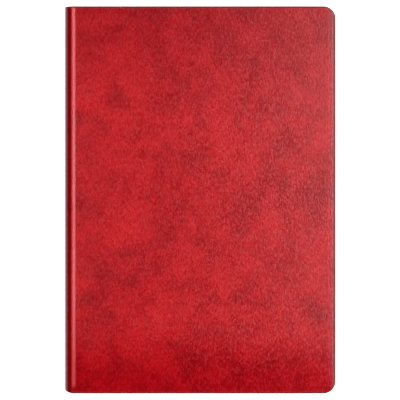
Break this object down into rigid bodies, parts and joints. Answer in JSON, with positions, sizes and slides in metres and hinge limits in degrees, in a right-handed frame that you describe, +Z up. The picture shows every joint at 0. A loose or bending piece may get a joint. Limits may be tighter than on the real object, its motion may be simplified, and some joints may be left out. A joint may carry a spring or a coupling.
{
  "type": "leather notebook cover",
  "caption": "Closed case-bound notebook in a red leather cover with a rounded spine edge; both covers hinge on the spine and it opens flat at its middle.",
  "frame": {"origin": "centre of the back cover's outer face, on the surface that the closed notebook lies on", "axes": "+Z up through the thickness to the front cover, +Y along the spine towards the head, +X from the spine to the fore-edge"},
  "size_m": [0.147, 0.21, 0.018],
  "materials": {
    "leather": "satin smooth-grained red leather, mottled",
    "padding": "thin matte wadding",
    "greyboard": "matte grey binder's board",
    "spine_card": "matte flexible card",
    "endpaper": "matte ivory endpaper",
    "paper": "matte cream writing paper, faintly ruled",
    "kraft": "matte brown kraft paper",
    "mull": "open-weave cotton mull",
    "headband": "woven, red and cream stripes",
    "thread": "waxed linen thread"
  },
  "bodies": {
    "back_half": {"back_leather": "leather", "back_padding": "padding", "back_board": "greyboard", "back_endpaper": "endpaper", "section_5": "paper", "section_6": "paper", "section_7": "paper", "section_8": "paper"},
    "spine": {"spine_leather": "leather", "spine_strip": "spine_card", "kraft_lining": "kraft", "mull_lining": "mull", "headband": "headband", "tailband": "headband", "stitch_row_1": "thread", "stitch_row_2": "thread", "stitch_row_3": "thread", "stitch_row_4": "thread", "stitch_row_5": "thread"},
    "front_half": {"front_leather": "leather", "front_padding": "padding", "front_board": "greyboard", "front_endpaper": "endpaper", "section_1": "paper", "section_2": "paper", "section_3": "paper", "section_4": "paper"}
  },
  "joints": [
    {"name": "rear_hinge", "type": "hinge", "parent": "back_half", "child": "spine", "pos_m": [-0.07232, 0, 0.00118], "axis": [0, -1, 0], "range_deg": [0, 90]},
    {"name": "front_hinge", "type": "hinge", "parent": "spine", "child": "front_half", "pos_m": [-0.07232, 0, 0.01682], "axis": [0, -1, 0], "range_deg": [0, 90]}
  ]
}
